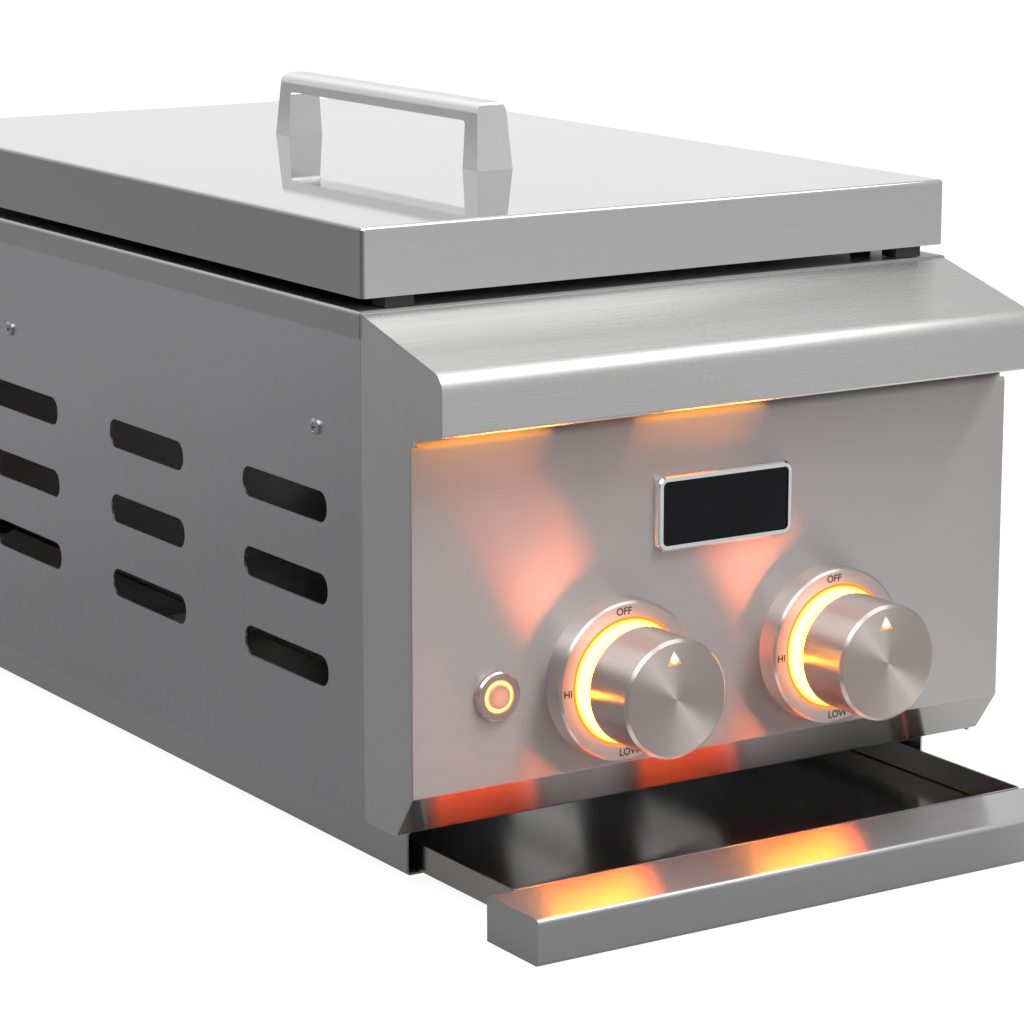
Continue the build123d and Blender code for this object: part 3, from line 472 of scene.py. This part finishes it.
litFinishes = {
    "knobGlow": dict(
        inner=0.27, outer=0.475, hot=(1.0, 0.41, 0.022), edge=(0.05, 0.007, 0.0002), strength=38.0,
        base=(0.30, 0.12, 0.03), nodes=("left_light_ring", "right_light_ring"),
    ),
    "buttonGlow": dict(
        inner=0.30, outer=0.52, hot=(1.0, 0.38, 0.09), edge=(0.30, 0.050, 0.002), strength=5.5,
        base=(0.30, 0.12, 0.03), nodes=("button_light",),
    ),
    "capGlow": dict(
        inner=-0.60, outer=0.62, hot=(1.0, 0.36, 0.19), edge=(0.55, 0.15, 0.05), strength=0.60,
        base=(0.25, 0.16, 0.13), nodes=("button_cap",),
    ),
    "pointerGlow": dict(
        inner=-0.52, outer=0.60, hot=(1.0, 0.80, 0.55), edge=(1.0, 0.20, 0.02), strength=1.7,
        base=(0.20, 0.09, 0.04), nodes=("left_knob_pointer", "right_knob_pointer"),
    ),
}


def dress(finishes, maker):
    for name, values in finishes.items():
        values = dict(values)
        targets = values.pop("nodes")
        finish = maker(name, **values)
        for target in targets:
            parts[target].data.materials.clear()
            parts[target].data.materials.append(finish)


dress(sheetFinishes, brushedSheet)
dress(spunFinishes, spunMetal)
dress(skinFinishes, pittedSkin)
dress(litFinishes, litRing)
print("finishes on", len(bpy.data.materials), "materials")


# Words printed round the knobs

words = dict(
    ring=33.0 * mm, size=4.8 * mm, weight=0.09 * mm, lift=0.03 * mm,
    places={"OFF": 95.0, "HI": 183.0, "LOW": 271.0},  # degrees round the bezel from the cook's right
)
printInk = dict(base=(0.020, 0.016, 0.015), grainSize=0.6 * mm, rough=0.5, mottle=0.1, bump=0.03)


def printWords():
    ink = pittedSkin("printInk", **printInk)
    for side in ("left", "right"):
        low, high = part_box(f"{side}_knob_bezel")
        centre = (low + high) / 2
        for word, angle in words["places"].items():
            curve = bpy.data.curves.new(f"{side}{word}Curve", "FONT")
            curve.body = word
            curve.size = words["size"]
            curve.align_x = "CENTER"
            curve.align_y = "CENTER"
            curve.extrude = words["lift"]
            curve.offset = words["weight"]
            source = bpy.data.objects.new(f"{side}{word}Source", curve)
            bpy.context.scene.collection.objects.link(source)
            bpy.context.view_layer.update()
            mesh = bpy.data.meshes.new_from_object(source)
            bpy.data.objects.remove(source)
            turn = math.radians(angle)
            place = Vector((
                centre.x + words["ring"] * math.cos(turn), low.y, centre.z + words["ring"] * math.sin(turn),
            ))
            mesh.transform(Matrix.Translation(place) @ Matrix.Rotation(math.pi / 2, 4, "X"))
            piece = bpy.data.objects.new(f"{side}Word{word.title()}", mesh)
            mesh.materials.clear()
            mesh.materials.append(ink)
            bpy.context.scene.collection.objects.link(piece)
            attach(piece, "case")


printWords()
print("words printed")


# Screws with cross recesses and threads, in the places of the plain ones

caseScrews = dict(
    sides=48, rings=16, rim=0.45, arm=0.62, slot=0.15, slotWall=0.05, slotEnd=0.10, recess=0.7,
    pitch=0.8 * mm, root=0.84, rimShare=0.97, near=0.01 * mm,
)
weldGap = 0.001 * mm
sharpAngle = math.radians(35)


def solidPoints(node):
    # the corners of each separate solid in a node
    shape = bmesh.new()
    shape.from_mesh(parts[node].data)
    bmesh.ops.remove_doubles(shape, verts=shape.verts, dist=weldGap)
    seen = set()
    for start in shape.verts:
        if start in seen:
            continue
        seen.add(start)
        group = [start]
        for vert in group:
            for edge in vert.link_edges:
                other = edge.other_vert(vert)
                if other not in seen:
                    seen.add(other)
                    group.append(other)
        yield [vert.co.copy() for vert in group]
    shape.free()


def crossDrop(share, turn):
    # how deep the cross recess is at a place on the head, as a share of its full depth
    reach = [abs(share * math.cos(turn)), abs(share * math.sin(turn))]
    wall = min(1.0, max(0.0, (caseScrews["slot"] - min(reach)) / caseScrews["slotWall"]))
    end = min(1.0, max(0.0, (caseScrews["arm"] - max(reach)) / caseScrews["slotEnd"]))
    return wall * end


def screwShape(points):
    low = Vector([min(p[i] for p in points) for i in range(3)])
    high = Vector([max(p[i] for p in points) for i in range(3)])
    size, middle = high - low, (low + high) / 2
    axis = min(range(3), key=lambda i: abs(size[i - 1] - size[i - 2]))  # the head is round across this one
    radius = size[axis - 1] / 2
    spread = [(p - middle).length_squared - (p - middle)[axis] ** 2 for p in points]
    rimReach = (caseScrews["rimShare"] * radius) ** 2
    rimAt = [(p - middle)[axis] for p, s in zip(points, spread) if s > rimReach]
    way = math.copysign(1.0, sum(rimAt))
    seat = min(way * r for r in rimAt)
    tip, top = -size[axis] / 2, size[axis] / 2
    endAt = tip + caseScrews["near"]
    shank = math.sqrt(max(s for p, s in zip(points, spread) if way * (p - middle)[axis] < endAt))
    steps = max(2, round((seat - tip) / caseScrews["pitch"] * 2))
    thread = (shank, shank * caseScrews["root"])
    rings = [(thread[i % 2], tip + (seat - tip) * i / steps) for i in range(steps)]
    rim = seat + caseScrews["rim"] * (top - seat)
    rings += [(shank, seat), (radius, seat), (radius, rim)]
    rings += [(radius * (1 - i / caseScrews["rings"]), None) for i in range(1, caseScrews["rings"])]
    verts, faces = [], []
    count = caseScrews["sides"]
    for reach, height in rings:
        for k in range(count):
            turn = 2 * math.pi * k / count
            share = reach / radius
            rise = height
            if rise is None:
                rise = rim + (top - rim) * (1 - share ** 2)
                rise -= caseScrews["recess"] * (top - seat) * crossDrop(share, turn)
            place = middle.copy()
            place[axis] += way * rise
            place[axis - 1] += reach * math.cos(turn)
            place[axis - 2] += reach * math.sin(turn)
            verts.append(place)
    for ring in range(len(rings) - 1):
        for k in range(count):
            near, far = ring * count, (ring + 1) * count
            faces.append((near + k, near + (k + 1) % count, far + (k + 1) % count, far + k))
    faces.append(tuple(range(count)))
    faces.append(tuple(range(len(verts) - count, len(verts))))
    return verts, faces


def newPiece(name, verts, faces, finish, body):
    mesh = bpy.data.meshes.new(name)
    mesh.from_pydata(verts, [], faces)
    shape = bmesh.new()
    shape.from_mesh(mesh)
    bmesh.ops.recalc_face_normals(shape, faces=shape.faces)
    shape.to_mesh(mesh)
    shape.free()
    mesh.shade_smooth()
    mesh.set_sharp_from_angle(angle=sharpAngle)
    mesh.materials.append(bpy.data.materials[finish])
    piece = bpy.data.objects.new(name, mesh)
    bpy.context.scene.collection.objects.link(piece)
    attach(piece, body)
    return piece


def driveScrews():
    verts, faces = [], []
    for points in solidPoints("case_screws"):
        corners, sheets = screwShape(points)
        faces += [tuple(len(verts) + i for i in sheet) for sheet in sheets]
        verts += corners
    screws = newPiece("caseScrewHeads", verts, faces, "fastenerZinc", "case")
    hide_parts("case_screws")


driveScrews()
print("screws driven")


# Return springs on the valve stems, wound from wire

stemCoils = dict(wire=0.34 * mm, turns=6, steps=28, sides=8, closed=0.35, travel=4.0 * mm)


def windCoil(side):
    low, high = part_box(f"{side}_stem_spring")
    middle = (low + high) / 2
    wire = stemCoils["wire"]
    radius = (high.x - low.x) / 2 - wire
    run = high.y - low.y - 2 * wire
    count, sides = stemCoils["turns"] * stemCoils["steps"], stemCoils["sides"]
    verts, faces = [], []
    for i in range(count + 1):
        t = i / count
        closer = t * t * (3 - 2 * t)  # the turns lie closer at both ends
        along = low.y + wire + run * (t + stemCoils["closed"] * (closer - t))
        turn = 2 * math.pi * stemCoils["turns"] * t
        out = Vector((math.cos(turn), 0, math.sin(turn)))
        for k in range(sides):
            roll = 2 * math.pi * k / sides
            place = Vector((middle.x, along, middle.z)) + out * (radius + wire * math.cos(roll))
            place.y += wire * math.sin(roll)
            verts.append(place)
    for i in range(count):
        for k in range(sides):
            near, far = i * sides, (i + 1) * sides
            faces.append((near + k, near + (k + 1) % sides, far + (k + 1) % sides, far + k))
    faces += [tuple(range(sides)), tuple(range(count * sides, (count + 1) * sides))]
    body = f"{side}_valve_turn_body"
    coil = newPiece(f"{side}StemCoil", verts, faces, "fastenerZinc", body)
    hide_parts(f"{side}_stem_spring")
    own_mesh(coil)


for side in ("left", "right"):
    windCoil(side)
print("springs wound")


# Studio

# each span is where a tone starts and stops changing, in metres on the floor and as a direction round it
floorLook = dict(
    size=14.0, drop=0.2 * mm, colour=0.82, shadowShare=0.2, white=1.17,
    left=0.185, right=0.78, acrossSpan=(-0.4, 0.5),
    front=0.72, back=2.05, depthSpan=(0.1, 1.3),
    # a painted shadow on the floor by the tray's front, and a painted pool of light to its right, which only the
    # metal sees
    shadeAt=(0.02, -0.44, 0.0), shade=0.50, shadeSpan=(0.10, 0.50),
    litPatchAt=(0.235, -0.325, 0.0), litPatch=1.10, litPatchSpan=(0.04, 0.16),
)
surround = dict(
    left=0.336, right=0.464, acrossSpan=(-0.7, 0.7),
    top=0.64, topSpan=(0.30, 0.75), topRight=0.40, topRightSpan=(0.40, 0.65),
    rear=0.496, rearSpan=(0.55, 0.80), rearFoot=(-0.02, 0.10), rearLeft=0.80, rearLeftSpan=(-0.75, 0.10),
    skyAt=(0.53, -0.80, 0.26), sky=0.224, skySpan=(0.84, 0.98),
)

lamps = {
    "topBox": dict(at=(0.78, -0.95, 1.9), size=1.34, power=16.0, aim=(0.78, -0.95, 0.2)),
    "leftBox": dict(at=(-0.95, -0.75, 1.35), size=1.2, power=20.0, aim=(-0.2, -0.55, 0.1)),
    "frontBox": dict(at=(0.05, -2.6, 1.3), size=0.9, power=9.0, aim=(0.0, -0.3, 0.1)),
}

# the glow that each knob's back throws on to the panel, up to the hood's lip, down to the tray,
# on to the bezel, along the knob's own barrel and back from under the hood to the panel's top
backLight = dict(
    radius=26.0 * mm, gap=0.3 * mm, power=0.42, colour=(1.0, 0.21, 0.066), lights=("control_panel",),
)
spillLights = {
    "Rise": dict(reach=28.5 * mm, way=1, power=0.14, colour=(1.0, 0.24, 0.03), lights=("front_hood",)),
    "Fall": dict(
        reach=28.5 * mm, way=-1, power=0.085, colour=(1.0, 0.075, 0.004), lights=("tray_pan", "tray_front"),
    ),
}
faceLight = dict(power=0.030, colour=(1.0, 0.38, 0.28), lights=("left_knob_bezel", "right_knob_bezel"))
barrelLight = dict(
    size=6.0 * mm, out=8.0 * mm, drop=3.0 * mm, gap=0.3 * mm, power=0.012, colour=(1.0, 0.30, 0.02),
    lights=("left_knob", "right_knob"),
)
lipLight = dict(
    width=76.0 * mm, depth=9.0 * mm, shift=-65.0 * mm, ahead=5.5 * mm, rise=1.0 * mm, power=0.0115,
    colour=(1.0, 0.36, 0.02), lights=("control_panel",),
)
spillSize = dict(width=58.0 * mm, depth=7.0 * mm, gap=4.5 * mm, shift=-9.0 * mm)

# angles in degrees, focal length in pixels of a square image, sensor in millimetres, clip in metres
cameraView = dict(
    at=(-0.9402, -1.5865, 0.5028), azimuth=-32.64, elevation=12.21, focal=3538.7, image=1024, sensor=36.0,
    clip=(0.05, 50.0),
)


def floorTone(tree):
    # what the metal mirrors in the floor: dim on the left, a painted shadow beneath the tray's front and a
    # painted pool of light on the right
    place = put(tree, "ShaderNodeTexCoord").outputs["Object"]
    axes = put(tree, "ShaderNodeSeparateXYZ", {0: place}).outputs
    look = floorLook
    across = eased(tree, axes["X"], look["acrossSpan"], look["left"], look["right"])
    depth = eased(tree, axes["Y"], look["depthSpan"], look["front"], look["back"])
    tone = sums(tree, "MULTIPLY", across, depth)
    near = vectors(tree, "DISTANCE", place, look["shadeAt"]).outputs["Value"]
    tone = sums(tree, "MULTIPLY", tone, eased(tree, near, look["shadeSpan"], look["shade"], 1.0))
    near = vectors(tree, "DISTANCE", place, look["litPatchAt"]).outputs["Value"]
    return sums(tree, "ADD", tone, eased(tree, near, look["litPatchSpan"], look["litPatch"], 0.0))


def buildFloor():
    mesh = bpy.data.meshes.new("studioFloor")
    reach = floorLook["size"] / 2
    low = cadBox[0].z - floorLook["drop"]
    corners = [(-reach, -reach, low), (reach, -reach, low), (reach, reach, low), (-reach, reach, low)]
    mesh.from_pydata(corners, [], [(0, 1, 2, 3)])
    floor = bpy.data.objects.new("studioFloor", mesh)
    bpy.context.scene.collection.objects.link(floor)
    material = bpy.data.materials.new("studioFloor")
    material.use_nodes = True
    tree = material.node_tree
    tree.nodes.clear()
    path = put(tree, "ShaderNodeLightPath").outputs
    seen = sums(tree, "MAXIMUM", path["Is Camera Ray"], path["Is Glossy Ray"])
    seen = sums(tree, "MAXIMUM", seen, path["Is Transmission Ray"])
    mixed = {"Factor": path["Is Camera Ray"], 2: floorTone(tree), 3: floorLook["white"]}
    glow = put(tree, "ShaderNodeEmission", {"Strength": put(tree, "ShaderNodeMix", mixed).outputs[0]})
    cloth = put(tree, "ShaderNodeBsdfDiffuse", {"Color": (*[floorLook["colour"]] * 3, 1.0)})
    share = sums(tree, "MULTIPLY", seen, 1.0 - floorLook["shadowShare"])
    mix = put(tree, "ShaderNodeMixShader", {0: share, 1: cloth.outputs[0], 2: glow.outputs[0]})
    put(tree, "ShaderNodeOutputMaterial", {"Surface": mix.outputs[0]})
    mesh.materials.append(material)
    floor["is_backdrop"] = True


def buildSurround():
    world = bpy.data.worlds.new("studioSurround")
    bpy.context.scene.world = world
    world.use_nodes = True
    tree = world.node_tree
    tree.nodes.clear()
    path = put(tree, "ShaderNodeLightPath").outputs
    direction = put(tree, "ShaderNodeTexCoord").outputs["Generated"]
    axes = put(tree, "ShaderNodeSeparateXYZ", {0: direction}).outputs
    look = surround
    room = eased(tree, axes["X"], look["acrossSpan"], look["left"], look["right"])
    top = eased(tree, axes["Z"], look["topSpan"], 0.0, look["top"])
    top = sums(tree, "MULTIPLY", top, ranged(tree, axes["X"], *look["topRightSpan"], 1.0, look["topRight"]))
    room = sums(tree, "ADD", room, top)
    rear = eased(tree, axes["Y"], look["rearSpan"], 0.0, look["rear"])
    rear = sums(tree, "MULTIPLY", rear, ranged(tree, axes["Z"], *look["rearFoot"], 0.0, 1.0))
    rear = sums(tree, "MULTIPLY", rear, ranged(tree, axes["X"], *look["rearLeftSpan"], look["rearLeft"], 1.0))
    near = vectors(tree, "DOT_PRODUCT", direction, look["skyAt"]).outputs["Value"]
    sky = eased(tree, near, look["skySpan"], 0.0, look["sky"])
    tone = sums(tree, "ADD", sums(tree, "ADD", room, rear), sky)
    level = put(tree, "ShaderNodeMix", {"Factor": path["Is Camera Ray"], 2: tone, 3: 1.0}).outputs[0]
    back = put(tree, "ShaderNodeBackground", {"Color": (1.0, 1.0, 1.0, 1.0), "Strength": level})
    put(tree, "ShaderNodeOutputWorld", {"Surface": back.outputs[0]})


def hangLamp(name, data, place, toward):
    light = bpy.data.objects.new(name, data)
    light.location = place
    light.rotation_mode = "QUATERNION"
    light.rotation_quaternion = Vector(toward).to_track_quat("-Z", "Y")
    bpy.context.scene.collection.objects.link(light)
    return light


def hangLamps():
    for name, lamp in lamps.items():
        data = bpy.data.lights.new(name, "AREA")
        data.size = lamp["size"]
        data.energy = lamp["power"]
        hangLamp(name, data, lamp["at"], Vector(lamp["aim"]) - Vector(lamp["at"]))


def glowLamp(name, glow, place, toward, width, depth=None):
    # a lamp that lights only the nodes it names
    data = bpy.data.lights.new(name, "AREA")
    data.shape = "RECTANGLE" if depth else "DISK"
    data.size = width
    if depth:
        data.size_y = depth
    data.energy = glow["power"]
    data.color = glow["colour"]
    lit = bpy.data.collections.new(name)
    for node in glow["lights"]:
        lit.objects.link(parts[node])
    lamp = hangLamp(name, data, place, toward)
    lamp.light_linking.receiver_collection = lit
    return lamp


def lightKnobs():
    for side in ("left", "right"):
        low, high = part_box(f"{side}_knob")
        middle = (low + high) / 2
        place = (middle.x, high.y + backLight["gap"], middle.z)
        glowLamp(f"{side}BackLight", backLight, place, (0, 1, 0), 2 * backLight["radius"])
        glowLamp(f"{side}FaceLight", faceLight, place, (0, 1, 0), 2 * backLight["radius"])
        place = Vector((low.x - barrelLight["out"], 0, middle.z - barrelLight["drop"]))
        place.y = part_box(f"{side}_light_ring")[0].y - barrelLight["gap"]
        glowLamp(f"{side}BarrelLight", barrelLight, place, (0, -1, 0), barrelLight["size"])
        face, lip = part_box("control_panel")[0].y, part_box("front_hood")[0].z
        place = (middle.x + lipLight["shift"], face - lipLight["ahead"], lip + lipLight["rise"])
        lamp = glowLamp(f"{side}LipLight", lipLight, place, (0, 0, -1), lipLight["width"], lipLight["depth"])
        lamp.data.shape = "ELLIPSE"
        for name, spill in spillLights.items():
            place = middle + Vector((spillSize["shift"], 0, spill["way"] * spill["reach"]))
            place.y = high.y + spillSize["gap"]
            toward = (0, 0, spill["way"])
            glowLamp(f"{side}{name}", spill, place, toward, spillSize["width"], spillSize["depth"])


def setCamera():
    data = bpy.data.cameras.new("camera")
    data.sensor_width = cameraView["sensor"]
    data.lens = cameraView["focal"] / cameraView["image"] * cameraView["sensor"]
    data.clip_start, data.clip_end = cameraView["clip"]
    camera = bpy.data.objects.new("camera", data)
    turn, lift = math.radians(cameraView["azimuth"]), math.radians(cameraView["elevation"])
    back = Vector((math.sin(turn) * math.cos(lift), -math.cos(turn) * math.cos(lift), math.sin(lift)))
    camera.location = cameraView["at"]
    camera.rotation_mode = "QUATERNION"
    camera.rotation_quaternion = (-back).to_track_quat("-Z", "Y")
    bpy.context.scene.collection.objects.link(camera)
    bpy.context.scene.camera = camera


buildFloor()
buildSurround()
hangLamps()
lightKnobs()
setCamera()
bpy.context.scene.view_settings.view_transform = "Standard"
print("studio set")

boxes = {"cad": cadBox, "visual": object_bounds()}
{name: [list(corner) for corner in box] for name, box in boxes.items()}
